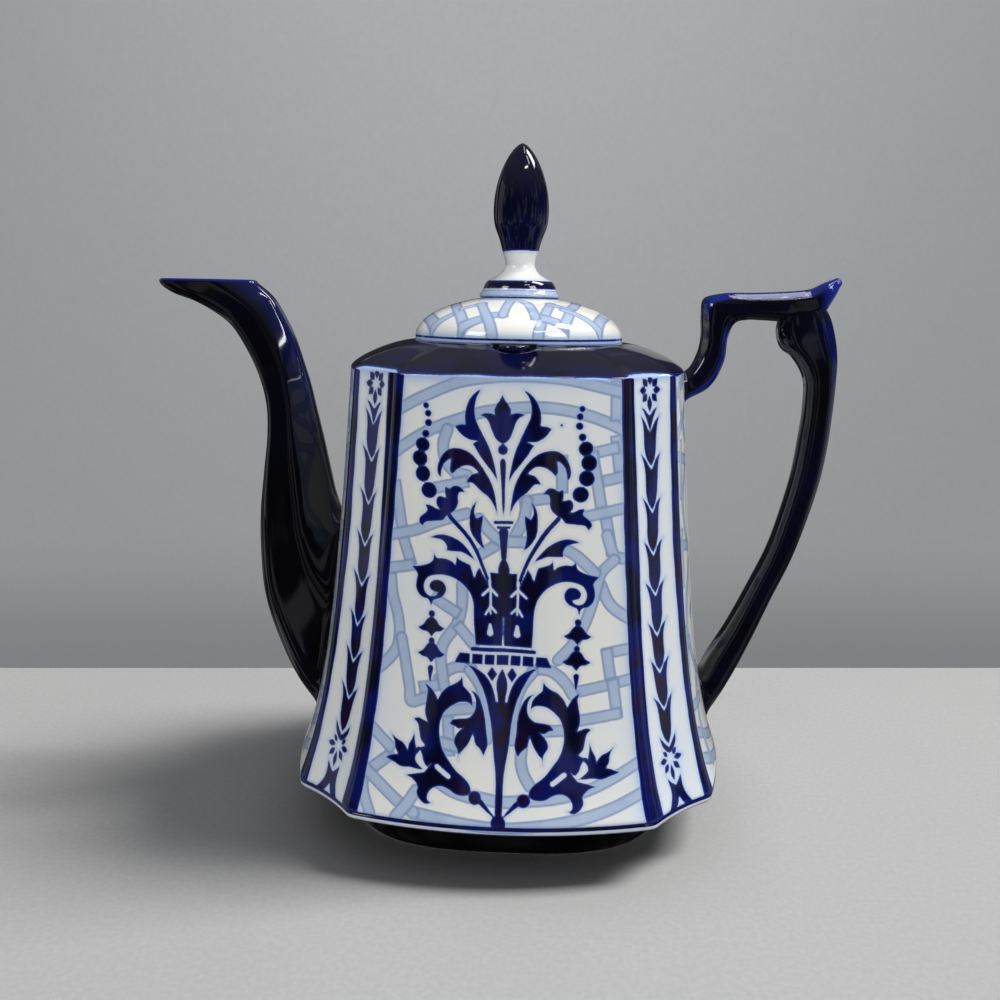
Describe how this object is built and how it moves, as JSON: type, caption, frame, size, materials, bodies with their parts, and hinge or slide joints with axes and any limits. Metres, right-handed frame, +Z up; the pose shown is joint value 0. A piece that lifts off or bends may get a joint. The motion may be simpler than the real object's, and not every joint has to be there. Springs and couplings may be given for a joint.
{
  "type": "teapot",
  "caption": "Tall porcelain teapot of square plan with coved corners, swan-neck spout, crank handle and a keyed lift-off lid, painted in blue.",
  "frame": {"origin": "middle of the part's length and width, at the height of the foot's standing edge", "axes": "+Z up along the pot's axis, -X towards the spout's tip, +X towards the handle's grip, -Y out of the front panel"},
  "size_m": [0.2466, 0.1564, 0.24],
  "materials": {
    "painted_porcelain": "white porcelain painted in cobalt and pale blue under a clear glossy glaze",
    "cobalt_glaze": "solid cobalt, near black, under a mirror-smooth glaze",
    "white_glaze": "plain white glossy glaze"
  },
  "bodies": {
    "pot": {"body_shell": "painted_porcelain", "foot_ring": "cobalt_glaze", "spout": "cobalt_glaze", "handle": "cobalt_glaze"},
    "lid": {"lid_dome": "painted_porcelain", "lid_flange": "white_glaze", "lid_lug": "white_glaze", "lid_collar": "painted_porcelain", "finial": "cobalt_glaze"}
  },
  "joints": [
    {"name": "lid_lift", "type": "slide", "parent": "pot", "child": "lid", "axis": [0, 0, 1], "range_m": [0, 0.06]}
  ]
}
